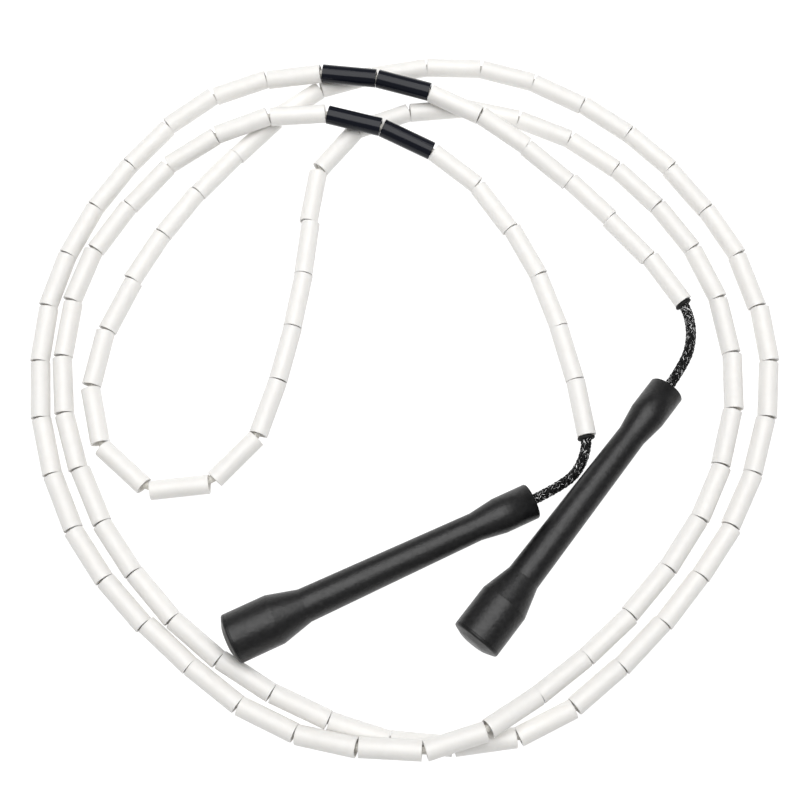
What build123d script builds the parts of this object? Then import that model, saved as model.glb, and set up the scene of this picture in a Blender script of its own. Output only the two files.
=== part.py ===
from build123d import *
from math import cos, pi, radians, sin, tan
import os

# A beaded jump rope lying in loose rings on a flat surface, with its two handles inside
# the rings. Millimetres. +Z is up and the surface is z = 0. The origin is on the surface,
# at the middle of the two handles' box; +X is the longer way of that box.

# ---- driving dimensions -------------------------------------------------------------

# beads
bead_length = 25.4
bead_diameter = 8.5
bead_clearance = 0.7  # radial, between the sleeve and a bead's bore
bead_edge = 0.35  # rounding of a bead's outer end edges
bead_play = 0.15  # free gap at the inside of a bend, bead to bead
beads_to_black = 6  # white beads between each handle and its black pair
black_in_a_row = 2
beads_per_group = 6

# cord
core_diameter = 3.5
sleeve_diameter = 4.8  # the braided sleeve over each end of the core
bare_cord_a = 46.5  # from handle A's small end to its first bead
bare_cord_b = 36.0  # at least this much from the last bead to handle B's small end
sleeve_tuck = 6.0  # how far a sleeve reaches into its first bead
stopper_section = 1.6  # thickness of the rubber ring against each end bead
stopper_squeeze = 0.1  # how far the ring bites into the sleeve, radially
stopper_gap = 0.25  # from the ring to the end bead

# handle, along its axis from the big end, which its cap closes, to the small end
big_end_length = 18.6
big_cone_length = 13.5
shaft_length = 79.5
small_cone_length = 11.5
small_end_length = 15.5
big_end_diameter = 21.6
shaft_big_diameter = 14.6
shaft_small_diameter = 12.5
small_end_diameter = 15.8
crease_rounding = 2.0  # where a cone meets the shaft or an end
shaft_wall = 1.6  # at the shaft's thin end
socket_diameter = 16.0
socket_depth = 17.0
hole_clearance = 0.3  # radial, between the sleeve and the handle's cord hole
end_wall = 12.0  # thickness of the small end, which the cord hole goes through

# the domed cap that closes each handle's big end, with a hollow plug in the socket
cap_lip = 1.0  # the cap's straight side, from the handle's end to its dome
dome_height = 2.0
dome_flat_radius = 5.5  # the dome is nearly flat within this radius
dome_rounding = 12.0
cap_edge = 1.3  # rounding of the dome's rim
cap_thickness = 2.4
plug_length = 8.0
plug_wall = 1.5
plug_clearance = 0.15  # radial, from the plug to the socket

# knot and washer inside each handle
washer_thickness = 1.2
washer_side_clearance = 0.3  # radial, from the washer to the shaft's bore
washer_clearance = 0.05  # from the washer to the end wall, the knot and the knot's neck
knot_side_clearance = 0.5  # radial, from the knot to the shaft's bore
knot_length = 8.0
knot_tail = 5.0
tail_rounding = 0.8

# where the handles lie: the middle of each small end's face, and the way it points, in
# degrees from +X
handle_a_end = (91.03, 60.71)
handle_a_heading = 53.8
handle_b_end = (31.65, 8.13)
handle_b_heading = 27.3
straight_out = 13.0  # how far beyond its handle each cord end stays on the handle's axis

# ---- worked out from them -------------------------------------------------------------

bead_radius = bead_diameter / 2
bead_bore_radius = sleeve_diameter / 2 + bead_clearance
body_length = big_end_length + big_cone_length + shaft_length + small_cone_length + small_end_length
handle_length = body_length + cap_lip + dome_height
hole_radius = sleeve_diameter / 2 + hole_clearance
bore_radius = shaft_small_diameter / 2 - shaft_wall
knot_radius = bore_radius - knot_side_clearance
knot_rounding = 0.85 * (knot_radius - core_diameter / 2)
mouth_wall = (big_end_diameter - socket_diameter) / 2
handle_edge = 0.15 * mouth_wall  # rounding of the handle's two end rims
mouth_edge = 0.2 * mouth_wall  # rounding of the socket's mouth
plug_radius = socket_diameter / 2 - plug_clearance

# A handle lies on the inner rim of its big end and the outer rim of its small end, so its
# axis drops towards the small end.
handle_drop = (big_end_diameter - small_end_diameter) / 2 / (body_length - big_end_length)
small_end_height = small_end_diameter / 2


def handle_plane(end, heading):
    """The plane of the small end's face, with +Z pointing out of the handle."""
    across = (-sin(radians(heading)), cos(radians(heading)), 0)
    ahead = (cos(radians(heading)), sin(radians(heading)), -handle_drop)
    return Plane(origin=(*end, small_end_height), x_dir=across, z_dir=ahead)


def handle_point(end, heading, along):
    """A point on a handle's axis, that far beyond its small end (negative is inside)."""
    plane = handle_plane(end, heading)
    return plane.origin + plane.z_dir * along


# ---- the cord's route ----------------------------------------------------------------

low = bead_radius + 0.2  # the cord's height where its beads lie, so that no bead dips under
high = 13.4  # its height where its beads cross over others

# out of handle A, round one ring, round the small loop, round the second ring, to handle B
route_points = [
    (104, 87, 5.5),
    (101.5, 103, low),
    (83.5, 127, low),
    (46.5, 163.5, 5),
    (4, 191, high),
    (-33, 205, high),
    (-73.5, 208, high + 0.5),
    (-103.5, 205, 7.5),
    (-131.5, 192.5, low),
    (-156.5, 163.5, low),
    (-176, 132.5, low),
    (-188, 96, low),
    (-189.5, 58, low),
    (-181, 18, low),
    (-161, -20.5, low),
    (-128.5, -53.5, low),
    (-85.5, -84.5, low),
    (-60, -93, 7),
    (-33, -97, high),
    (-5, -96, high),
    (19, -84.5, high - 0.5),
    (40.5, -69, low + 0.4),
    (78.5, -35.5, low),
    (109, 8.5, low),
    (124, 58, low),
    (117, 111.5, low),
    (87.5, 155.5, low),
    (46.5, 187, low),
    (-5, 199.5, low),
    (-36, 192, low),
    (-59, 180.5, low),
    (-72, 157.5, low),
    (-72.5, 122.5, low),
    (-76.5, 84, low),
    (-83, 53, low),
    (-89, 31, low),
    (-105.5, 11, low),
    (-131, 4.5, low),
    (-153.5, 18.5, low),
    (-164.5, 43, low),
    (-163, 73, low),
    (-148.5, 109.5, low),
    (-127.5, 145.5, low),
    (-97.5, 181.5, low),
    (-78.5, 200.5, low),
    (-54, 211, low),
    (-15, 220.5, low),
    (24.5, 217, low),
    (70.5, 194.5, low),
    (109, 157.5, low),
    (134.5, 112.5, low),
    (139.5, 60, low),
    (124, 8.5, low),
    (93, -36.5, low),
    (56.5, -73.5, low),
    (31.5, -89.5, low),
    (-7, -96.5, low),
    (-46, -89, low),
    (-94, -68.2, low),
    (-134, -35.5, low),
    (-164, 7, low),
    (-180.5, 59, low),
    (-174, 114.5, low),
    (-142.5, 159, low + 0.2),
    (-122, 172, 10.5),
    (-96.5, 183.5, high),
    (-70.5, 186.5, high + 0.5),
    (-43, 181.5, high),
    (-19, 173, 9),
    (4, 160, low),
    (33.5, 117.5, low),
    (46.5, 79, low),
    (57, 41, low),
    (53.7, 24.2, 6),
]


def corner_radii(points):
    """The largest arc that each corner's two runs allow."""
    radii = []
    for before, corner, after in zip(points, points[1:], points[2:]):
        run_in = corner - before
        run_out = after - corner
        shorter = min(run_in.length, run_out.length)
        radii.append(0.45 * shorter / tan(radians(run_in.get_angle(run_out)) / 2))
    return radii


out_of_a = [handle_point(handle_a_end, handle_a_heading, along) for along in (-end_wall, straight_out)]
into_b = [handle_point(handle_b_end, handle_b_heading, along) for along in (straight_out, -end_wall)]
corners = out_of_a + [Vector(*point) for point in route_points] + into_b
radii = corner_radii(corners)
with BuildLine() as route:
    FilletPolyline(*corners, radius=radii)
path = route.wires()[0]
path_length = path.length
print("cord arcs, smallest radius", round(min(radii), 1), "of", [round(radius) for radius in radii])
print("cord, sleeve end to sleeve end", round(path_length, 1))


def at(distance):
    """The point that far along the cord."""
    return path.position_at(distance, position_mode=PositionMode.LENGTH)


def heading_at(distance):
    """The cord's direction there."""
    return path.tangent_at(distance, position_mode=PositionMode.LENGTH)


def bead_plane(distance):
    """A bead's own plane: its axis is +Z, balanced about the bend that the cord makes in it."""
    first = at(distance - bead_length / 2)
    last = at(distance + bead_length / 2)
    middle = ((first + last) / 2 + at(distance)) / 2
    return Plane(origin=middle, z_dir=last - first)


def gap_inside(before, after):
    """The gap between two neighbouring beads, at the inside of the bend."""
    leaving = before.origin + before.z_dir * (bead_length / 2)
    entering = after.origin - after.z_dir * (bead_length / 2)
    between = (before.z_dir + after.z_dir).normalized()
    turn = radians(before.z_dir.get_angle(after.z_dir))
    return (entering - leaving).dot(between) - 2 * (bead_radius - bead_edge) * sin(turn / 2)


# Beads fill the cord from handle A on, each moved along until it has its play.
first_bead = end_wall + bare_cord_a
beads_end = path_length - end_wall - bare_cord_b
distance = first_bead + bead_length / 2
bead_planes = []
while distance + bead_length / 2 < beads_end:
    bead_planes.append(bead_plane(distance))
    last_bead = distance + bead_length / 2
    distance += bead_length
    for correction in range(3):
        distance += bead_play - gap_inside(bead_planes[-1], bead_plane(distance))
bead_count = len(bead_planes)
print("beads", bead_count, "first to last", round(last_bead - first_bead, 1))
print("bare cord at B", round(path_length - last_bead - end_wall, 1))

# ---- solids ---------------------------------------------------------------------------

os.makedirs("parts", exist_ok=True)


def save(name, piece):
    piece.label = name
    export_step(piece, f"parts/{name}.step")


def turned(plane, outline):
    """A solid turned about the plane's +Z axis. Its outline is a closed list of
    (height along the axis, radius, rounding of that corner)."""
    side = Plane(origin=plane.origin, x_dir=plane.z_dir, z_dir=plane.y_dir)
    corners = [(height, radius) for height, radius, rounding in outline]
    roundings = [rounding for height, radius, rounding in outline]
    with BuildPart() as piece:
        with BuildSketch(side):
            with BuildLine():
                FilletPolyline(*corners, radius=roundings, close=True)
            make_face()
        revolve(axis=Axis(plane.origin, plane.z_dir))
    return piece.part


def cord_tube(start, end, diameter):
    """A round cord on the route, from one distance along it to another."""
    with BuildPart() as cord:
        with BuildLine() as line:
            add(path.trim(start / path_length, end / path_length))
        with BuildSketch(Plane(origin=at(start), z_dir=heading_at(start))):
            Circle(diameter / 2)
        sweep()
    section = pi * diameter**2 / 4
    ratio = cord.part.volume / (section * (end - start))
    print("cord tube: volume over section times length", round(ratio, 4))
    return cord.part


# the cord: a core through all the beads, and a sleeve over each of its bare ends
sleeve_a_end = first_bead + sleeve_tuck
sleeve_b_end = last_bead - sleeve_tuck
save("cord_core", cord_tube(sleeve_a_end, sleeve_b_end, core_diameter))
save("cord_sleeve_a", cord_tube(0, sleeve_a_end, sleeve_diameter))
save("cord_sleeve_b", cord_tube(sleeve_b_end, path_length, sleeve_diameter))

# the rubber ring that stops the beads at each end
stopper_reach = stopper_gap + stopper_section / 2
for name, distance, end_bead in (
    ("a", first_bead - stopper_reach, bead_planes[0]),
    ("b", last_bead + stopper_reach, bead_planes[-1]),
):
    with BuildPart(Plane(origin=at(distance), z_dir=end_bead.z_dir)) as stopper:
        Torus((sleeve_diameter + stopper_section) / 2 - stopper_squeeze, stopper_section / 2)
    save(f"stopper_ring_{name}", stopper.part)

# the beads: one shape, placed along the cord
bead_outline = [
    (-bead_length / 2, bead_bore_radius, 0),
    (-bead_length / 2, bead_radius, bead_edge),
    (bead_length / 2, bead_radius, bead_edge),
    (bead_length / 2, bead_bore_radius, 0),
]
bead = turned(Plane.XY, bead_outline)
last_black = beads_to_black + black_in_a_row
black_numbers = list(range(beads_to_black, last_black))
black_numbers += list(range(bead_count - last_black, bead_count - beads_to_black))
white_numbers = [number for number in range(bead_count) if number not in black_numbers]


def bead_solids(numbers):
    """The beads of these numbers, counted from handle A's end."""
    with BuildPart() as beads:
        with Locations(*[bead_planes[number].location for number in numbers]):
            add(bead)
    return beads.part


for count, number in enumerate(black_numbers, start=1):
    save(f"black_bead_{count}", bead_solids([number]))
    axis = bead_planes[number].z_dir
    print("black bead", count, "at", bead_planes[number].origin, "axis", axis)
for count, start in enumerate(range(0, len(white_numbers), beads_per_group), start=1):
    save(f"white_beads_{count:02d}", bead_solids(white_numbers[start : start + beads_per_group]))

# the handles, each with the washer and knot that hold it on the cord
small_cone_start = -small_end_length
small_cone_end = small_cone_start - small_cone_length
big_cone_start = small_cone_end - shaft_length
big_cone_end = big_cone_start - big_cone_length
handle_outline = [
    (0, hole_radius, 0),
    (0, small_end_diameter / 2, handle_edge),
    (small_cone_start, small_end_diameter / 2, crease_rounding),
    (small_cone_end, shaft_small_diameter / 2, crease_rounding),
    (big_cone_start, shaft_big_diameter / 2, crease_rounding),
    (big_cone_end, big_end_diameter / 2, crease_rounding),
    (-body_length, big_end_diameter / 2, handle_edge),
    (-body_length, socket_diameter / 2, mouth_edge),
    (-body_length + socket_depth, socket_diameter / 2, 0),
    (big_cone_start, bore_radius, 0),
    (-end_wall, bore_radius, 0),
    (-end_wall, hole_radius, 0),
]
cap_outline = [
    (-handle_length, 0, 0),
    (-handle_length, dome_flat_radius, dome_rounding),
    (-handle_length + dome_height, big_end_diameter / 2, cap_edge),
    (-body_length, big_end_diameter / 2, 0),
    (-body_length, plug_radius, 0),
    (-body_length + plug_length, plug_radius, 0),
    (-body_length + plug_length, plug_radius - plug_wall, 0),
    (-handle_length + cap_thickness, plug_radius - plug_wall, 0),
    (-handle_length + cap_thickness, 0, 0),
]
washer_front = -end_wall - washer_clearance
washer_back = washer_front - washer_thickness
washer_outline = [
    (washer_front, core_diameter / 2 + washer_clearance, 0),
    (washer_front, bore_radius - washer_side_clearance, 0),
    (washer_back, bore_radius - washer_side_clearance, 0),
    (washer_back, core_diameter / 2 + washer_clearance, 0),
]
knot_front = washer_back - washer_clearance
knot_back = knot_front - knot_length
tail_end = knot_back - knot_tail
knot_outline = [
    (-end_wall, 0, 0),
    (-end_wall, core_diameter / 2, 0),
    (knot_front, core_diameter / 2, 0),
    (knot_front, knot_radius, knot_rounding),
    (knot_back, knot_radius, knot_rounding),
    (knot_back, core_diameter / 2, 0),
    (tail_end, core_diameter / 2, tail_rounding),
    (tail_end, 0, 0),
]
for name, end, heading in (
    ("a", handle_a_end, handle_a_heading),
    ("b", handle_b_end, handle_b_heading),
):
    plane = handle_plane(end, heading)
    save(f"handle_{name}", turned(plane, handle_outline))
    save(f"end_cap_{name}", turned(plane, cap_outline))
    save(f"washer_{name}", turned(plane, washer_outline))
    save(f"end_knot_{name}", turned(plane, knot_outline))
    big_end = handle_point(end, heading, -body_length + big_end_length / 2)
    print("handle", name, "small end", plane.origin, "middle of big end", big_end, "axis", plane.z_dir)

print("bend A at", at(end_wall + bare_cord_a / 2))
print("bend B at", at((last_bead + path_length - end_wall) / 2))
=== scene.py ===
from math import ceil, cos, pi, radians, sin, tan

import bmesh
import bpy
import numpy as np
from mathutils import Matrix, Vector


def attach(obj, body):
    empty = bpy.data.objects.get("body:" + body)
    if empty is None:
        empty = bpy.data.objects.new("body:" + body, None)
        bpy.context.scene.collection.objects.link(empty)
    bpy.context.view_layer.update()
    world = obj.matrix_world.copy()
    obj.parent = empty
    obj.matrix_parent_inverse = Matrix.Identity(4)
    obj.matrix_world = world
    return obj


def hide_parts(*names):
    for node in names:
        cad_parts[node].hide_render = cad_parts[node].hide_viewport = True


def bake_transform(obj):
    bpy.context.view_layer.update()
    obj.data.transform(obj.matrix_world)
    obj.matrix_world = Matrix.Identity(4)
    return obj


# A beaded jump rope in loose rings on a pale floor: white and black tube beads on a cord,
# a braided black sleeve and a rubber ring at each end, and two flared black handles.
# Metres, in the CAD model's frame.

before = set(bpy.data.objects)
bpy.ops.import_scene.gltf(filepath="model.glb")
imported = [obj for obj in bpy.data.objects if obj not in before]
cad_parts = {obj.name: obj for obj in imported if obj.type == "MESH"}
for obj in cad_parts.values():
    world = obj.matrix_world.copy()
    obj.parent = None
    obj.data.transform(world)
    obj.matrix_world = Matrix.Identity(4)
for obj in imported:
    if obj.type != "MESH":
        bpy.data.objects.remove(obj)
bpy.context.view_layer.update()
mm = 0.001

# ---- sizes, as in the CAD model, but for the roundings of some edges -------------------

bead_length = 25.4 * mm
bead_diameter = 8.5 * mm
bead_bore = 6.2 * mm
bead_edge = 0.35 * mm
bead_play = 0.15 * mm
beads_to_black = 6
black_in_a_row = 2
bead_radius = bead_diameter / 2

core_diameter = 3.5 * mm
sleeve_diameter = 4.8 * mm
bare_cord_a = 46.5 * mm
bare_cord_b = 36 * mm
sleeve_tuck = 6 * mm
stopper_section = 1.6 * mm
stopper_squeeze = 0.1 * mm
stopper_gap = 0.25 * mm

big_end_length = 18.6 * mm
big_cone_length = 13.5 * mm
shaft_length = 79.5 * mm
small_cone_length = 11.5 * mm
small_end_length = 15.5 * mm
big_end_diameter = 21.6 * mm
shaft_big_diameter = 14.6 * mm
shaft_small_diameter = 12.5 * mm
small_end_diameter = 15.8 * mm
handle_edge = 0.4 * mm
mouth_edge = 0.5 * mm
shaft_wall = 1.6 * mm
socket_diameter = 16 * mm
socket_depth = 17 * mm
hole_clearance = 0.3 * mm
end_wall = 12 * mm
cap_lip = 1 * mm
dome_height = 2 * mm
dome_flat_radius = 5.5 * mm
dome_rounding = 12 * mm
cap_edge = 1.1 * mm
cap_thickness = 2.4 * mm
plug_length = 8 * mm
plug_wall = 1.5 * mm
plug_clearance = 0.15 * mm
body_length = big_end_length + big_cone_length + shaft_length + small_cone_length + small_end_length
handle_length = body_length + cap_lip + dome_height
handle_drop = (big_end_diameter - small_end_diameter) / 2 / (body_length - big_end_length)

handle_a_end = Vector((0.09103, 0.06071, 0.0079))
handle_a_heading = radians(53.8)
handle_b_end = Vector((0.03165, 0.00813, 0.0079))
handle_b_heading = radians(27.3)
straight_out = 13 * mm
handle_a_axis = Vector((cos(handle_a_heading), sin(handle_a_heading), -handle_drop)).normalized()
handle_b_axis = Vector((cos(handle_b_heading), sin(handle_b_heading), -handle_drop)).normalized()

# ---- camera --------------------------------------------------------------------------

look_at = Vector((-0.027, 0.0527, 0))
camera_distance = 0.4955
camera_tilt = radians(15.13)  # from straight down, towards -Y
camera_roll = radians(2.53)
camera_lens = 49.71

level = Vector((1, 0, 0))
upward = Vector((0, cos(camera_tilt), sin(camera_tilt)))
back = level.cross(upward)
right = level * cos(camera_roll) + upward * sin(camera_roll)
up = upward * cos(camera_roll) - level * sin(camera_roll)
camera = bpy.data.objects.new("camera", bpy.data.cameras.new("camera"))
camera.data.lens = camera_lens
camera.data.sensor_width = 36
camera.data.clip_start = 0.01
camera.matrix_world = Matrix.Translation(look_at + back * camera_distance) @ Matrix(
    (right, up, back)
).transposed().to_4x4()
bpy.context.scene.collection.objects.link(camera)
bpy.context.scene.camera = camera

# ---- the cord's route ----------------------------------------------------------------

low = bead_radius + 0.2 * mm  # the cord's height where its beads lie on the floor
high = 13.4 * mm  # its height where its beads cross over others

# out of handle A, round one ring, round the small loop, round the second ring, to handle B
route_points = [
    (0.104, 0.087, 0.0055),
    (0.1015, 0.103, low),
    (0.0835, 0.127, low),
    (0.0465, 0.1635, 0.005),
    (0.004, 0.191, high),
    (-0.033, 0.205, high),
    (-0.0735, 0.208, high + 0.0005),
    (-0.1035, 0.205, 0.0075),
    (-0.1315, 0.1925, low),
    (-0.1565, 0.1635, low),
    (-0.176, 0.1325, low),
    (-0.188, 0.096, low),
    (-0.1895, 0.058, low),
    (-0.181, 0.018, low),
    (-0.161, -0.0205, low),
    (-0.1285, -0.0535, low),
    (-0.0855, -0.0845, low),
    (-0.06, -0.093, 0.007),
    (-0.033, -0.097, high),
    (-0.005, -0.096, high),
    (0.019, -0.0845, high - 0.0005),
    (0.0405, -0.069, low + 0.0004),
    (0.0785, -0.0355, low),
    (0.109, 0.0085, low),
    (0.124, 0.058, low),
    (0.117, 0.1115, low),
    (0.0875, 0.1555, low),
    (0.0465, 0.187, low),
    (-0.005, 0.1995, low),
    (-0.036, 0.192, low),
    (-0.059, 0.1805, low),
    (-0.072, 0.1575, low),
    (-0.0725, 0.1225, low),
    (-0.0765, 0.084, low),
    (-0.083, 0.053, low),
    (-0.089, 0.031, low),
    (-0.1055, 0.011, low),
    (-0.131, 0.0045, low),
    (-0.1535, 0.0185, low),
    (-0.1645, 0.043, low),
    (-0.163, 0.073, low),
    (-0.1485, 0.1095, low),
    (-0.1275, 0.1455, low),
    (-0.0975, 0.1815, low),
    (-0.0785, 0.2005, low),
    (-0.054, 0.211, low),
    (-0.015, 0.2205, low),
    (0.0245, 0.217, low),
    (0.0705, 0.1945, low),
    (0.109, 0.1575, low),
    (0.1345, 0.1125, low),
    (0.1395, 0.06, low),
    (0.124, 0.0085, low),
    (0.093, -0.0365, low),
    (0.0565, -0.0735, low),
    (0.0315, -0.0895, low),
    (-0.007, -0.0965, low),
    (-0.046, -0.089, low),
    (-0.094, -0.0682, low),
    (-0.134, -0.0355, low),
    (-0.164, 0.007, low),
    (-0.1805, 0.059, low),
    (-0.174, 0.1145, low),
    (-0.1425, 0.159, low + 0.0002),
    (-0.122, 0.172, 0.0105),
    (-0.0965, 0.1835, high),
    (-0.0705, 0.1865, high + 0.0005),
    (-0.043, 0.1815, high),
    (-0.019, 0.173, 0.009),
    (0.004, 0.16, low),
    (0.0335, 0.1175, low),
    (0.0465, 0.079, low),
    (0.057, 0.041, low),
    (0.0537, 0.0242, 0.006),
]
corners = [handle_a_end + handle_a_axis * along for along in (-end_wall, straight_out)]
corners += [Vector(point) for point in route_points]
corners += [handle_b_end + handle_b_axis * along for along in (straight_out, -end_wall)]


def smooth_line(points, steps=16):
    """The points of a smooth NURBS line that has the given points as its control points."""
    curve = bpy.data.curves.new("route", "CURVE")
    curve.dimensions = "3D"
    curve.resolution_u = steps
    spline = curve.splines.new("NURBS")
    spline.points.add(len(points) - 1)
    for target, point in zip(spline.points, points):
        target.co = (*point, 1)
    spline.order_u = 3
    spline.use_endpoint_u = True
    holder = bpy.data.objects.new("route", curve)
    mesh = bpy.data.meshes.new_from_object(holder)
    line = np.array([vertex.co for vertex in mesh.vertices])
    bpy.data.objects.remove(holder)
    bpy.data.curves.remove(curve)
    bpy.data.meshes.remove(mesh)
    return line


line = smooth_line(corners)
travelled = np.concatenate([[0], np.cumsum(np.linalg.norm(np.diff(line, axis=0), axis=1))])
cord_length = travelled[-1]


def at(distance):
    """The point or points that far along the cord."""
    return np.stack([np.interp(distance, travelled, line[:, k]) for k in range(3)], axis=-1)


def unit(vectors):
    return vectors / np.linalg.norm(vectors, axis=-1, keepdims=True)


def stretch(start, end, step):
    """Evenly spaced points of the cord between two distances along it."""
    return at(np.linspace(start, end, ceil((end - start) / step) + 1))


def bead_place(distance):
    """A bead's centre and axis, balanced about the bend that the cord makes in it."""
    first, centre, last = at(distance + np.array([-0.5, 0, 0.5]) * bead_length)
    return Vector((first + last) / 4 + centre / 2), Vector(unit(last - first))


def gap_inside(before, after):
    """The gap between two neighbouring beads, at the inside of the bend."""
    leaving = before[0] + before[1] * (bead_length / 2)
    entering = after[0] - after[1] * (bead_length / 2)
    between = (before[1] + after[1]).normalized()
    turn = before[1].angle(after[1])
    return (entering - leaving).dot(between) - 2 * (bead_radius - bead_edge) * sin(turn / 2)


first_bead = end_wall + bare_cord_a
beads_end = cord_length - end_wall - bare_cord_b
distance = first_bead + bead_length / 2
beads = []
while distance + bead_length / 2 < beads_end:
    beads.append(bead_place(distance))
    last_bead = distance + bead_length / 2
    distance += bead_length
    for correction in range(3):
        distance += bead_play - gap_inside(beads[-1], bead_place(distance))
print("beads", len(beads), "cord", round(cord_length, 4), "bare cord at B",
      round(cord_length - end_wall - last_bead, 4))

# ---- mesh tools ------------------------------------------------------------------------


def piece(name, points, faces, material, wrap=None):
    """A new object from points and faces, in smooth shading, with a UV pair for each corner."""
    mesh = bpy.data.meshes.new(name)
    mesh.from_pydata([tuple(point) for point in points], [], faces)
    mesh.shade_smooth()
    mesh.materials.append(material)
    if wrap is not None:
        layer = mesh.uv_layers.new(name="wrap")
        layer.data.foreach_set("uv", np.array(wrap, np.float32).ravel())
    made = bpy.data.objects.new(name, mesh)
    bpy.context.scene.collection.objects.link(made)
    return made


def swept(centres, outward, half_width, half_thickness, sides, length=0.0):
    """Points, faces and UVs of a closed tube of oval section along the centres. Its
    thickness points outward. U goes once round, and V is the distance along in metres."""
    heading = unit(np.gradient(centres, axis=0))
    side = unit(np.cross(outward, heading))
    outward = np.cross(heading, side)
    angle = np.linspace(0, 2 * pi, sides, endpoint=False)[None, :, None]
    rings = centres[:, None] + np.cos(angle) * half_width * side[:, None]
    rings = rings + np.sin(angle) * half_thickness * outward[:, None]
    run = np.concatenate([[0], np.cumsum(np.linalg.norm(np.diff(centres, axis=0), axis=1))])
    faces = []
    wrap = []
    for ring in range(len(centres) - 1):
        for corner in range(sides):
            after = (corner + 1) % sides
            here, beyond = ring * sides, (ring + 1) * sides
            faces.append((here + corner, here + after, beyond + after, beyond + corner))
            u, next_u = corner / sides, (corner + 1) / sides
            v, next_v = run[ring], run[ring + 1]
            wrap += [(u, v), (next_u, v), (next_u, next_v), (u, next_v)]
    last_ring = (len(centres) - 1) * sides
    faces.append(tuple(reversed(range(sides))))
    faces.append(tuple(range(last_ring, last_ring + sides)))
    wrap += [(0, 0)] * sides + [(0, run[-1])] * sides
    return rings.reshape(-1, 3), faces, wrap


flat_margin = 0.05 * mm  # how far beyond a rounding the extra point lies
same_place = 0.001 * mm  # points closer than this are one


def rounded(outline, steps):
    """The closed outline of (height, radius, rounding) with each rounding as an arc, and a
    point a little before and after it so that the long faces stay flat in smooth shading."""
    points = [Vector(corner[:2]) for corner in outline]
    made = []
    for index, corner in enumerate(points):
        rounding = outline[index][2]
        to_last = (points[index - 1] - corner).normalized()
        to_next = (points[(index + 1) % len(points)] - corner).normalized()
        half = to_last.angle(to_next) / 2
        if not rounding:
            made.append(corner)
            continue
        reach = rounding / tan(half)
        centre = corner + (to_last + to_next).normalized() * (rounding / sin(half))
        start = corner + to_last * reach - centre
        turn = (pi - 2 * half) * (1 if start.x * to_next.y - start.y * to_next.x > 0 else -1)
        made.append(corner + to_last * (reach + flat_margin))
        for step in range(steps + 1):
            angle = turn * step / steps
            made.append(centre + Matrix.Rotation(angle, 2) @ start)
        made.append(corner + to_next * (reach + flat_margin))
    return made


def turned(name, outline, sides, steps, material, place=Matrix()):
    """A solid turned about its +Z axis from a closed outline, then put in its place."""
    profile = rounded(outline, steps)
    count = len(profile)
    points = []
    for side in range(sides):
        angle = 2 * pi * side / sides
        points += [(radius * cos(angle), radius * sin(angle), height) for height, radius in profile]
    faces = []
    for side in range(sides):
        here, beyond = side * count, (side + 1) % sides * count
        for step in range(count):
            after = (step + 1) % count
            faces.append((here + step, here + after, beyond + after, beyond + step))
    made = piece(name, points, faces, material)
    shell = bmesh.new()
    shell.from_mesh(made.data)
    bmesh.ops.remove_doubles(shell, verts=shell.verts, dist=same_place)
    bmesh.ops.recalc_face_normals(shell, faces=shell.faces)
    shell.to_mesh(made.data)
    shell.free()
    made.data.transform(place)
    return made


def standing(origin, axis):
    """The matrix that puts +Z along the axis, with its origin there."""
    across = Vector((0, 0, 1)).cross(axis).normalized()
    turn = Matrix((across, axis.cross(across), axis)).transposed().to_4x4()
    return Matrix.Translation(origin) @ turn


# ---- materials -------------------------------------------------------------------------


def new_group(name, sockets_in, sockets_out):
    """An empty shader node group with named inputs (name, kind, default) and outputs."""
    group = bpy.data.node_groups.new(name, "ShaderNodeTree")
    for title, kind, default in sockets_in:
        socket = group.interface.new_socket(title, in_out="INPUT", socket_type="NodeSocket" + kind)
        if default is not None:
            socket.default_value = default
    for title, kind in sockets_out:
        group.interface.new_socket(title, in_out="OUTPUT", socket_type="NodeSocket" + kind)
    return group, group.nodes.new("NodeGroupInput"), group.nodes.new("NodeGroupOutput")


def node(tree, kind, inputs=(), **settings):
    """A new node with its settings, and its inputs set or linked by name or number."""
    made = tree.nodes.new(kind)
    for name, value in settings.items():
        setattr(made, name, value)
    for name, value in dict(inputs).items():
        if isinstance(value, bpy.types.NodeSocket):
            tree.links.new(value, made.inputs[name])
        else:
            made.inputs[name].default_value = value
    return made


def maths(tree, operation, *values):
    return node(tree, "ShaderNodeMath", dict(enumerate(values)), operation=operation).outputs[0]


def noise(tree, place, scale, detail=3.0, roughness=0.55):
    values = {"Vector": place, "Scale": scale, "Detail": detail, "Roughness": roughness}
    return node(tree, "ShaderNodeTexNoise", values).outputs["Fac"]


def ranged(tree, value, from_low, from_high, to_low, to_high):
    """The value moved from one range to another, clamped."""
    limits = {0: value, 1: from_low, 2: from_high, 3: to_low, 4: to_high}
    return node(tree, "ShaderNodeMapRange", limits).outputs[0]


def mixed(tree, factor, first, second):
    made = node(tree, "ShaderNodeMix", {"Factor": factor}, data_type="RGBA")
    for socket, value in ((made.inputs[6], first), (made.inputs[7], second)):
        if isinstance(value, bpy.types.NodeSocket):
            tree.links.new(value, socket)
        else:
            socket.default_value = (*value, 1)
    return made.outputs[2]


wave_height = 0.4 * mm
grain_height = 0.12 * mm


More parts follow.
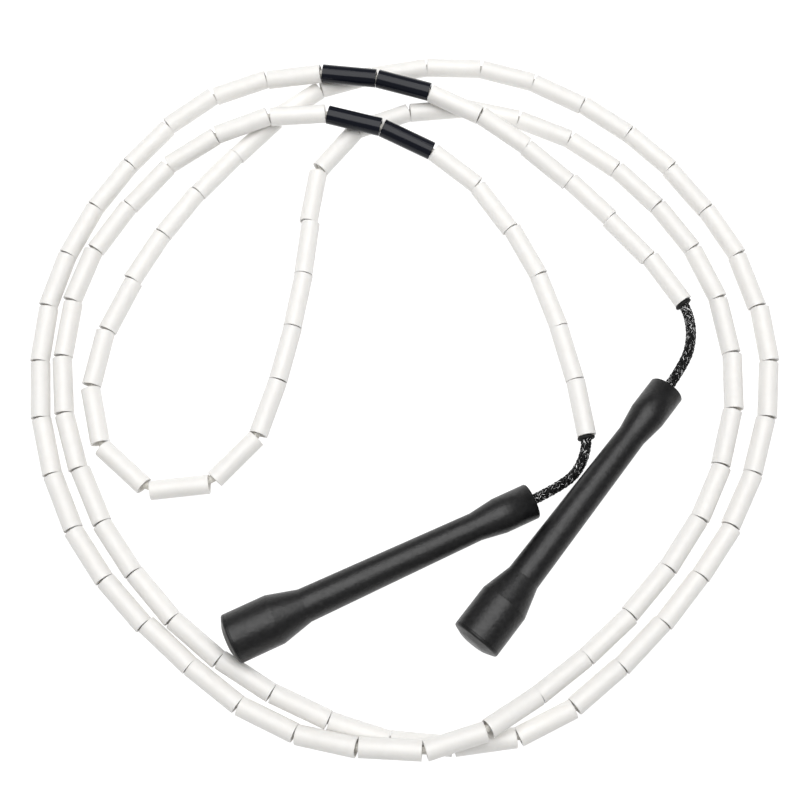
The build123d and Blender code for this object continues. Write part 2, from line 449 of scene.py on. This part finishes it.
def build_moulded_surface():
    """The fine grain, slow waviness and cloudy gloss of a moulded or drawn plastic surface."""
    group, given, result = new_group(
        "moulded_surface",
        [("Place", "Vector", None), ("Grain Scale", "Float", 3000.0), ("Grain", "Float", 0.2),
         ("Wave Scale", "Float", 90.0), ("Wave", "Float", 0.2), ("Gloss Low", "Float", 0.3),
         ("Gloss High", "Float", 0.5), ("Cloud Scale", "Float", 250.0)],
        [("Roughness", "Float"), ("Normal", "Vector"), ("Cloud", "Float")],
    )
    place = given.outputs["Place"]
    grain = noise(group, place, given.outputs["Grain Scale"], 2.0)
    wave = noise(group, place, given.outputs["Wave Scale"], 2.0)
    cloud = noise(group, place, given.outputs["Cloud Scale"], 5.0, 0.65)
    cloud_part = maths(group, "MULTIPLY", cloud, 0.6)
    grain_part = maths(group, "MULTIPLY", grain, 0.4)
    spread = ranged(group, maths(group, "ADD", cloud_part, grain_part), 0.3, 0.7,
                    given.outputs["Gloss Low"], given.outputs["Gloss High"])
    coarse = node(group, "ShaderNodeBump", {"Height": wave, "Strength": given.outputs["Wave"],
                                            "Distance": wave_height})
    fine = node(group, "ShaderNodeBump", {"Height": grain, "Strength": given.outputs["Grain"],
                                          "Distance": grain_height, "Normal": coarse.outputs[0]})
    for title, value in (("Roughness", spread), ("Normal", fine.outputs[0]), ("Cloud", cloud)):
        group.links.new(value, result.inputs[title])
    return group


def build_fibres():
    """Fine fibres that run along a yarn, from its own UV map: shade, height and a mask of painted glints,
    pale highlights to be painted into the colour.
    """
    group, given, result = new_group(
        "fibres",
        [("Wrap", "Vector", None), ("Across", "Float", 18.0), ("Along", "Float", 420.0)],
        [("Shade", "Float"), ("Painted Glint", "Float"), ("Height", "Float")],
    )
    parts = node(group, "ShaderNodeSeparateXYZ", {0: given.outputs["Wrap"]})
    around = maths(group, "MULTIPLY", parts.outputs[0], 2 * pi)
    ring_x = maths(group, "MULTIPLY", maths(group, "COSINE", around), given.outputs["Across"])
    ring_y = maths(group, "MULTIPLY", maths(group, "SINE", around), given.outputs["Across"])
    run = maths(group, "MULTIPLY", parts.outputs[1], given.outputs["Along"])
    place = node(group, "ShaderNodeCombineXYZ", {0: ring_x, 1: ring_y, 2: run}).outputs[0]
    thread = noise(group, place, 1.0, 2.0)
    patch = noise(group, place, 0.35, 1.0)
    # the mask of painted glints: bright threads within bright patches, where a highlight gets painted into
    # the colour
    bright_thread = ranged(group, thread, 0.58, 0.63, 0.0, 1.0)
    bright_patch = ranged(group, patch, 0.46, 0.52, 0.0, 1.0)
    painted_glint = maths(group, "MULTIPLY", bright_thread, bright_patch)
    shade = ranged(group, thread, 0.3, 0.7, 0.0, 1.0)
    for title, value in (("Shade", shade), ("Painted Glint", painted_glint), ("Height", thread)):
        group.links.new(value, result.inputs[title])
    return group


moulded_surface = build_moulded_surface()
fibres = build_fibres()


def new_material(name):
    material = bpy.data.materials.new(name)
    material.use_nodes = True
    tree = material.node_tree
    shader = tree.nodes["Principled BSDF"]
    place = tree.nodes.new("ShaderNodeTexCoord").outputs["Object"]
    return material, tree, shader, place


def grouped(tree, group, inputs):
    made = node(tree, "ShaderNodeGroup", node_tree=group)
    for name, value in inputs.items():
        if isinstance(value, bpy.types.NodeSocket):
            tree.links.new(value, made.inputs[name])
        else:
            made.inputs[name].default_value = value
    return made.outputs


glow_share = 0.35
glow_tint = (1.0, 0.95, 0.88)


def plastic(name, main, second, surface, specular=0.5, tone=None, glow_depth=0.0):
    """A plastic with two close colours in clouds and its own surface. With a tone, each bead
    leans to it by its own amount, and with a glow depth some light goes into the plastic."""
    material, tree, shader, place = new_material(name)
    made = grouped(tree, moulded_surface, {"Place": place, **surface})
    colour = mixed(tree, ranged(tree, made["Cloud"], 0.35, 0.65, 0.0, 1.0), main, second)
    if tone:
        own = node(tree, "ShaderNodeAttribute", attribute_name="tone").outputs["Fac"]
        colour = mixed(tree, own, colour, mixed(tree, 0.5, colour, tone))
    tree.links.new(colour, shader.inputs["Base Color"])
    tree.links.new(made["Roughness"], shader.inputs["Roughness"])
    tree.links.new(made["Normal"], shader.inputs["Normal"])
    shader.inputs["Specular IOR Level"].default_value = specular
    if glow_depth:
        shader.inputs["Subsurface Weight"].default_value = glow_share
        shader.inputs["Subsurface Radius"].default_value = glow_tint
        shader.inputs["Subsurface Scale"].default_value = glow_depth
    return material


white_plastic = plastic(
    "white_bead_plastic", (0.80, 0.785, 0.76), (0.775, 0.76, 0.732),
    {"Grain Scale": 2600.0, "Grain": 0.05, "Wave Scale": 160.0, "Wave": 0.25,
     "Gloss Low": 0.32, "Gloss High": 0.5, "Cloud Scale": 320.0},
    tone=(0.74, 0.73, 0.71),
    glow_depth=2 * mm,
)
black_plastic = plastic(
    "black_bead_plastic", (0.0025, 0.0035, 0.008), (0.004, 0.005, 0.01),
    {"Grain Scale": 2200.0, "Grain": 0.015, "Wave Scale": 80.0, "Wave": 0.12,
     "Gloss Low": 0.1, "Gloss High": 0.2, "Cloud Scale": 500.0},
    specular=0.22,
    tone=(0.008, 0.009, 0.014),
)
handle_plastic = plastic(
    "handle_plastic", (0.004, 0.004, 0.0043), (0.009, 0.009, 0.0094),
    {"Grain Scale": 650.0, "Grain": 1.0, "Wave Scale": 60.0, "Wave": 0.08,
     "Gloss Low": 0.3, "Gloss High": 0.5, "Cloud Scale": 500.0},
    specular=0.42,
)
washer_plastic = plastic(
    "washer_nylon", (0.55, 0.54, 0.5), (0.6, 0.59, 0.55),
    {"Grain Scale": 2600.0, "Grain": 0.1, "Gloss Low": 0.35, "Gloss High": 0.5},
)
stopper_rubber = plastic(
    "stopper_rubber", (0.006, 0.006, 0.006), (0.01, 0.01, 0.01),
    {"Grain Scale": 3500.0, "Grain": 0.2, "Wave": 0.1, "Gloss Low": 0.55, "Gloss High": 0.8,
     "Cloud Scale": 900.0},
    specular=0.25,
)


fibre_height = 0.15 * mm


def yarn(name, dark, light, painted_glint, across, along, bump, specular=0.5):
    """Braided yarn: fibres along each strand, with painted glints, pale highlight streaks painted into its
    colour where a fibre would catch the light.
    """
    material, tree, shader, place = new_material(name)
    wrap = node(tree, "ShaderNodeUVMap", uv_map="wrap").outputs[0]
    made = grouped(tree, fibres, {"Wrap": wrap, "Across": across, "Along": along})
    base = mixed(tree, made["Shade"], dark, light)
    # painted highlights: the mask of painted glints mixes the colour towards the pale glint colour
    tree.links.new(mixed(tree, made["Painted Glint"], base, painted_glint), shader.inputs["Base Color"])
    tree.links.new(ranged(tree, made["Painted Glint"], 0.0, 1.0, 0.5, 0.28), shader.inputs["Roughness"])
    raised = node(tree, "ShaderNodeBump",
                  {"Height": made["Height"], "Strength": bump, "Distance": fibre_height})
    tree.links.new(raised.outputs[0], shader.inputs["Normal"])
    shader.inputs["Specular IOR Level"].default_value = specular
    return material


# the third colour of each yarn is the colour of its painted glints, highlights painted into the yarn
black_yarn = yarn("black_sleeve_yarn", (0.002, 0.002, 0.0022), (0.006, 0.006, 0.0065), (0.9, 0.9, 0.9),
                  across=3.2, along=330.0, bump=0.4, specular=0.1)
white_yarn = yarn("cord_core_yarn", (0.5, 0.48, 0.43), (0.72, 0.7, 0.65), (0.85, 0.84, 0.8),
                  across=5.0, along=900.0, bump=0.8)

# the knot's yarn has no UV map, so its fibres are stretched noise in its own place
knot_yarn, knot_tree, knot_shader, knot_place = new_material("end_knot_yarn")
knot_turn = node(knot_tree, "ShaderNodeMapping",
                 {"Vector": knot_place, "Rotation": (0.5, 0.2, 0.9), "Scale": (1.0, 5.0, 3.0)})
knot_fibre = noise(knot_tree, knot_turn.outputs[0], 500.0)
knot_colour = mixed(knot_tree, knot_fibre, (0.4, 0.38, 0.34), (0.75, 0.73, 0.68))
knot_tree.links.new(knot_colour, knot_shader.inputs["Base Color"])
knot_shader.inputs["Roughness"].default_value = 0.75
knot_bump = node(knot_tree, "ShaderNodeBump", {"Height": knot_fibre, "Strength": 0.9, "Distance": 0.3 * mm})
knot_tree.links.new(knot_bump.outputs[0], knot_shader.inputs["Normal"])

# ---- the cord --------------------------------------------------------------------------

upright = np.array([0.0, 0.0, 1.0])
sleeve_a_end = first_bead + sleeve_tuck
sleeve_b_end = last_bead - sleeve_tuck

core_step = 2 * mm
core_sides = 12
core_centres = stretch(sleeve_a_end, sleeve_b_end, core_step)
core_radius = core_diameter / 2
core_points, core_faces, core_wrap = swept(core_centres, upright, core_radius, core_radius, core_sides)
core = piece("core", core_points, core_faces, white_yarn, core_wrap)

strands_each_way = 6
braid_pitch = 19 * mm  # one turn of a strand about the cord
strand_width = 1.75 * mm
strand_thickness = 0.9 * mm
weave_rise = 0.3 * mm  # how far a strand rises over a crossing and dips under the next
strand_radius = sleeve_diameter / 2 - strand_thickness / 2 - weave_rise
strand_step = 0.5 * mm
strand_sides = 8


def braided(name, start, end, material):
    """A round braid on the cord: strands each way, each over one and under the next."""
    centres = stretch(start, end, strand_step)
    along = np.linspace(0, end - start, len(centres))
    heading = unit(np.gradient(centres, axis=0))
    side = unit(np.cross(heading, upright))
    lift = np.cross(side, heading)
    points, faces, wrap = [], [], []
    for way in (1, -1):
        for strand in range(strands_each_way):
            angle = (way * 2 * pi * along / braid_pitch + 2 * pi * strand / strands_each_way)[:, None]
            outward = np.cos(angle) * side + np.sin(angle) * lift
            rise = way * weave_rise * np.cos(2 * pi * strands_each_way * along / braid_pitch)
            strand_line = centres + outward * (strand_radius + rise)[:, None]
            more, more_faces, more_wrap = swept(
                strand_line, outward, strand_width / 2, strand_thickness / 2, strand_sides
            )
            shift = len(points)
            points += list(more)
            faces += [tuple(shift + corner for corner in face) for face in more_faces]
            offset = strand * 0.37 + (way + 1) * 0.81  # so that no two strands have the same glints
            wrap += [(u, v + offset) for u, v in more_wrap]
    return piece(name, points, faces, material, wrap), centres


sleeve_a, sleeve_a_centres = braided("sleeve_a", 0, sleeve_a_end, black_yarn)
sleeve_b, sleeve_b_centres = braided("sleeve_b", sleeve_b_end, cord_length, black_yarn)

# ---- the beads -------------------------------------------------------------------------

bead_sides = 24
crisp_edge = 0.12 * mm
sideways_play = 0.6 * mm  # how far a loose bead lies off the cord's middle
bead_tilt = radians(0.9)
# the white beads are this much longer than in CAD, which nearly closes their joints, and
# the black ones are half of it shorter, so that they turn free of the white ones
closed_gap = 0.12 * mm


def bead_shape(name, length, material):
    """One bead about its own middle, along Z."""
    outline = [
        (-length / 2, bead_bore / 2, 0),
        (-length / 2, bead_radius, crisp_edge),
        (length / 2, bead_radius, crisp_edge),
        (length / 2, bead_bore / 2, 0),
    ]
    return turned(name, outline, bead_sides, 2, material)


white_bead = bead_shape("white_bead", bead_length + closed_gap, white_plastic)
black_bead = bead_shape("black_bead", bead_length - closed_gap / 2, black_plastic)


def build_bead_tree():
    """Puts a bead on each point, along the point's axis, loose on the cord by its play."""
    tree = bpy.data.node_groups.new("threaded_beads", "GeometryNodeTree")
    tree.interface.new_socket("Geometry", in_out="INPUT", socket_type="NodeSocketGeometry")
    for title, kind in (("Bead", "Object"), ("Plastic", "Material"), ("Sideways Play", "Float"),
                        ("Tilt", "Float"), ("Seed", "Int")):
        tree.interface.new_socket(title, in_out="INPUT", socket_type="NodeSocket" + kind)
    tree.interface.new_socket("Geometry", in_out="OUTPUT", socket_type="NodeSocketGeometry")
    given = tree.nodes.new("NodeGroupInput")
    play = given.outputs["Sideways Play"]
    seed = given.outputs["Seed"]

    less = maths(tree, "MULTIPLY", play, -1.0)
    shift = node(tree, "FunctionNodeRandomValue", {2: less, 3: play, "Seed": seed}, data_type="FLOAT")
    across = node(tree, "GeometryNodeInputNamedAttribute", {"Name": "across"}, data_type="FLOAT_VECTOR")
    offset = node(tree, "ShaderNodeVectorMath", {0: across.outputs[0], "Scale": shift.outputs[1]},
                  operation="SCALE")
    placed = node(tree, "GeometryNodeSetPosition",
                  {"Geometry": given.outputs["Geometry"], "Offset": offset.outputs[0]})

    axis = node(tree, "GeometryNodeInputNamedAttribute", {"Name": "axis"}, data_type="FLOAT_VECTOR")
    aligned = node(tree, "FunctionNodeAlignRotationToVector", {"Vector": axis.outputs[0]}, axis="Z")
    tilt = given.outputs["Tilt"]
    tilt_less = maths(tree, "MULTIPLY", tilt, -1.0)
    least = node(tree, "ShaderNodeCombineXYZ", {0: tilt_less, 1: tilt_less, 2: 0.0})
    most = node(tree, "ShaderNodeCombineXYZ", {0: tilt, 1: tilt, 2: 2 * pi})
    turn_seed = maths(tree, "ADD", seed, 1.0)
    turn = node(tree, "FunctionNodeRandomValue", {0: least.outputs[0], 1: most.outputs[0], "Seed": turn_seed},
                data_type="FLOAT_VECTOR")
    own_turn = node(tree, "FunctionNodeEulerToRotation", {0: turn.outputs[0]})
    rotation = node(tree, "FunctionNodeRotateRotation", {0: aligned.outputs[0], 1: own_turn.outputs[0]},
                    rotation_space="LOCAL")

    bead = node(tree, "GeometryNodeObjectInfo", {"Object": given.outputs["Bead"]}, transform_space="ORIGINAL")
    beaded = node(tree, "GeometryNodeInstanceOnPoints", {"Points": placed.outputs[0],
                  "Instance": bead.outputs["Geometry"], "Rotation": rotation.outputs[0]})
    tone_seed = maths(tree, "ADD", seed, 2.0)
    tone = node(tree, "FunctionNodeRandomValue", {2: 0.0, 3: 1.0, "Seed": tone_seed}, data_type="FLOAT")
    toned = node(tree, "GeometryNodeStoreNamedAttribute", {"Geometry": beaded.outputs[0], "Name": "tone",
                 "Value": tone.outputs[1]}, data_type="FLOAT", domain="INSTANCE")
    real = node(tree, "GeometryNodeRealizeInstances", {0: toned.outputs[0]})
    coloured = node(tree, "GeometryNodeSetMaterial",
                    {"Geometry": real.outputs[0], "Material": given.outputs["Plastic"]})
    result = tree.nodes.new("NodeGroupOutput")
    tree.links.new(coloured.outputs[0], result.inputs[0])
    return tree


bead_tree = build_bead_tree()
bead_inputs = {
    item.name: item.identifier for item in bead_tree.interface.items_tree if item.in_out == "INPUT"
}


def grown(name, points, tree, inputs):
    """The result of a geometry tree on a mesh of points with an axis each, as a plain mesh."""
    mesh = bpy.data.meshes.new(name)
    mesh.from_pydata([place for place, axis in points], [], [])
    for title, vectors in (
        ("axis", [axis for place, axis in points]),
        ("across", [axis.cross(Vector((0, 0, 1))).normalized() for place, axis in points]),
    ):
        attribute = mesh.attributes.new(title, "FLOAT_VECTOR", "POINT")
        attribute.data.foreach_set("vector", np.array(vectors, np.float32).ravel())
    made = bpy.data.objects.new(name, mesh)
    bpy.context.scene.collection.objects.link(made)
    modifier = made.modifiers.new("threaded", "NODES")
    modifier.node_group = tree
    for title, value in inputs.items():
        modifier[bead_inputs[title]] = value
    seen = made.evaluated_get(bpy.context.evaluated_depsgraph_get())
    result = bpy.data.meshes.new_from_object(seen)
    made.modifiers.remove(modifier)
    made.data = result
    bpy.data.meshes.remove(mesh)
    return made


last_black = beads_to_black + black_in_a_row
black_numbers = [
    *range(beads_to_black, last_black),
    *range(len(beads) - last_black, len(beads) - beads_to_black),
]
white_places = [place for number, place in enumerate(beads) if number not in black_numbers]
white_beads = grown("white_beads", white_places, bead_tree,
                    {"Bead": white_bead, "Plastic": white_plastic, "Sideways Play": sideways_play,
                     "Tilt": bead_tilt, "Seed": 4})
black_beads = [
    grown(f"black_bead_piece_{count}", [beads[number]], bead_tree,
          {"Bead": black_bead, "Plastic": black_plastic, "Sideways Play": 0.0, "Tilt": 0.0, "Seed": count})
    for count, number in enumerate(black_numbers, start=1)
]
bpy.data.objects.remove(white_bead)
bpy.data.objects.remove(black_bead)

# ---- the rubber rings and the handles ----------------------------------------------------

ring_middle = (sleeve_diameter + stopper_section) / 2 - stopper_squeeze
ring_half = stopper_section / 2
ring_corners = 14
ring_sides = 40
ring_outline = [
    (ring_half * sin(angle), ring_middle + ring_half * cos(angle), 0)
    for angle in (2 * pi * corner / ring_corners for corner in range(ring_corners))
]
stopper_reach = stopper_gap + stopper_section / 2
rings = []
for name, distance, end_bead in (
    ("ring_a", first_bead - stopper_reach, beads[0]),
    ("ring_b", last_bead + stopper_reach, beads[-1]),
):
    place = standing(Vector(at(distance)), end_bead[1])
    rings.append(turned(name, ring_outline, ring_sides, 1, stopper_rubber, place))

sharp_crease = 0.35 * mm
soft_crease = 1.2 * mm
hole_radius = sleeve_diameter / 2 + hole_clearance
bore_radius = shaft_small_diameter / 2 - shaft_wall
small_cone_end = -small_end_length - small_cone_length
big_cone_start = small_cone_end - shaft_length
big_cone_end = big_cone_start - big_cone_length
seam_edge = 0.12 * mm  # the hairline between a handle and its cap
handle_outline = [
    (0, hole_radius, 0.3 * mm),
    (0, small_end_diameter / 2, handle_edge),
    (-small_end_length, small_end_diameter / 2, soft_crease),
    (small_cone_end, shaft_small_diameter / 2, soft_crease),
    (big_cone_start, shaft_big_diameter / 2, sharp_crease),
    (big_cone_end, big_end_diameter / 2, sharp_crease),
    (-body_length, big_end_diameter / 2, seam_edge),
    (-body_length, socket_diameter / 2, mouth_edge),
    (-body_length + socket_depth, socket_diameter / 2, 0.5 * mm),
    (big_cone_start, bore_radius, 0),
    (-end_wall, bore_radius, 0),
    (-end_wall, hole_radius, 0),
]
plug_radius = socket_diameter / 2 - plug_clearance
cap_outline = [
    (-handle_length, 0, 0),
    (-handle_length, dome_flat_radius, dome_rounding),
    (-handle_length + dome_height, big_end_diameter / 2, cap_edge),
    (-body_length, big_end_diameter / 2, seam_edge),
    (-body_length, plug_radius, 0),
    (-body_length + plug_length, plug_radius, 0),
    (-body_length + plug_length, plug_radius - plug_wall, 0),
    (-handle_length + cap_thickness, plug_radius - plug_wall, 0),
    (-handle_length + cap_thickness, 0, 0),
]
handle_sides = 96
handle_steps = 5
cap_steps = 8
handle_a_place = standing(handle_a_end, handle_a_axis)
handle_b_place = standing(handle_b_end, handle_b_axis)
handle_a = turned("grip_a", handle_outline, handle_sides, handle_steps, handle_plastic, handle_a_place)
handle_b = turned("grip_b", handle_outline, handle_sides, handle_steps, handle_plastic, handle_b_place)
cap_a = turned("cap_a", cap_outline, handle_sides, cap_steps, handle_plastic, handle_a_place)
cap_b = turned("cap_b", cap_outline, handle_sides, cap_steps, handle_plastic, handle_b_place)

for name, material in (("end_knot_a", knot_yarn), ("end_knot_b", knot_yarn),
                       ("washer_a", washer_plastic), ("washer_b", washer_plastic)):
    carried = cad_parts[name]
    carried.data.materials.clear()
    carried.data.materials.append(material)

# ---- what each piece stands for and moves with --------------------------------------------

white_nodes = sorted(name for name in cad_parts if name.startswith("white_beads"))
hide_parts("cord_core")
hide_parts("cord_sleeve_a")
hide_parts("cord_sleeve_b")
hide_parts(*white_nodes)
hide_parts("handle_a")
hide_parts("handle_b")
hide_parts("end_cap_a")
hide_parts("end_cap_b")
for ring, name in zip(rings, ("stopper_ring_a", "stopper_ring_b")):
    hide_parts(name)
    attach(ring, "rope")
for count, bead in enumerate(black_beads, start=1):
    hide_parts(f"black_bead_{count}")
    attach(bead, f"black_bead_{count}")
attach(core, "rope")
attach(white_beads, "rope")
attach(handle_a, "handle_a")
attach(handle_b, "handle_b")
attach(cap_a, "handle_a")
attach(cap_b, "handle_b")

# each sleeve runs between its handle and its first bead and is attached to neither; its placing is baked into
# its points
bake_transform(sleeve_a)
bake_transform(sleeve_b)

# ---- floor and light ------------------------------------------------------------------------

floor_size = 6.0
floor_paint, floor_tree, floor_shader, floor_place = new_material("floor_paint")
floor_cloud = noise(floor_tree, floor_place, 3.0)
floor_tree.links.new(mixed(floor_tree, floor_cloud, (0.24, 0.24, 0.24), (0.25, 0.25, 0.25)),
                     floor_shader.inputs["Base Color"])
floor_shader.inputs["Roughness"].default_value = 0.9
floor_shader.inputs["Specular IOR Level"].default_value = 0.0
floor_shader.inputs["Emission Color"].default_value = (1, 1, 1, 1)
floor_shader.inputs["Emission Strength"].default_value = 0.95
half = floor_size / 2
floor_corners = [(-half, -half, 0), (half, -half, 0), (half, half, 0), (-half, half, 0)]
floor = piece("floor", floor_corners, [(0, 1, 2, 3)], floor_paint)

world = bpy.data.worlds.new("studio")
world.use_nodes = True
world.node_tree.nodes["Background"].inputs["Color"].default_value = (1, 1, 1, 1)
world.node_tree.nodes["Background"].inputs["Strength"].default_value = 0.28
bpy.context.scene.world = world


lit_place = (0, 0.05, 0)


def soft_light(name, place, aim, width, depth, power):
    """A rectangular light of that width, depth and power in watts, aimed at a point."""
    light = bpy.data.lights.new(name, "AREA")
    light.shape = "RECTANGLE"
    light.size = width
    light.size_y = depth
    light.energy = power
    lamp = bpy.data.objects.new(name, light)
    lamp.location = place
    lamp.rotation_mode = "QUATERNION"
    lamp.rotation_quaternion = (Vector(aim) - Vector(place)).to_track_quat("-Z", "Y")
    bpy.context.scene.collection.objects.link(lamp)


soft_light("key", (-0.05, 0.15, 0.8), lit_place, width=0.8, depth=0.8, power=7.4)
soft_light("strip", (-0.1, 0.9, 1.1), (0, 0.1, 0), width=1.4, depth=0.12, power=2.5)

bpy.context.scene.view_settings.view_transform = "Standard"
